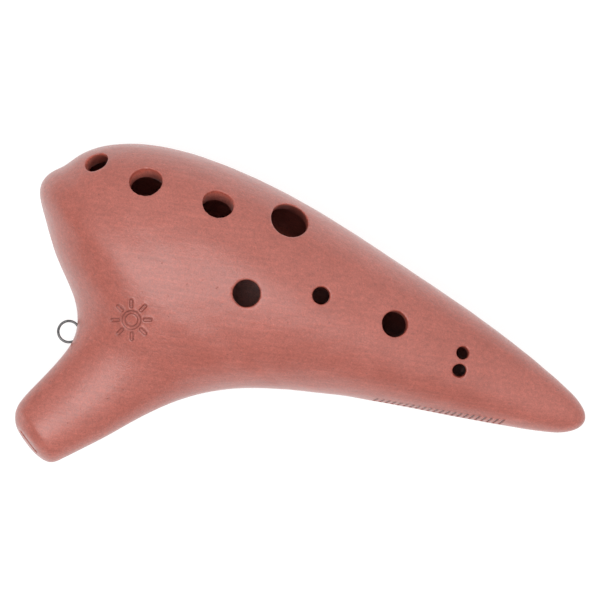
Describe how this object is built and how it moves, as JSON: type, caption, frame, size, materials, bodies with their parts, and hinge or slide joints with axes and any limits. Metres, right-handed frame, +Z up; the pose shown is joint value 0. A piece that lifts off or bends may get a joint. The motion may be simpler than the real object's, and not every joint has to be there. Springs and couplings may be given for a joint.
{
  "type": "ocarina",
  "caption": "Transverse sweet-potato vessel flute in bare fired clay, with a side beak, finger and thumb holes, an underside window and a wire strap eye.",
  "frame": {"origin": "bottom centre of the whole instrument's box, on the plane of the flat that it rests on", "axes": "+X along the vessel from the fat end to the tail, +Z up with the finger holes on top, beak towards -Y"},
  "size_m": [0.1749, 0.101, 0.0458],
  "materials": {
    "upper_shell": "satin",
    "lower_shell": "satin",
    "windway_block": "matte",
    "joint_slip": "matte",
    "loop_plug": "matte",
    "strap_loop": "satin"
  },
  "bodies": {
    "root": {"upper_shell": "upper_shell", "lower_shell": "lower_shell", "windway_block": "windway_block", "joint_slip": "joint_slip", "loop_plug": "loop_plug", "strap_loop": "strap_loop"}
  },
  "joints": []
}
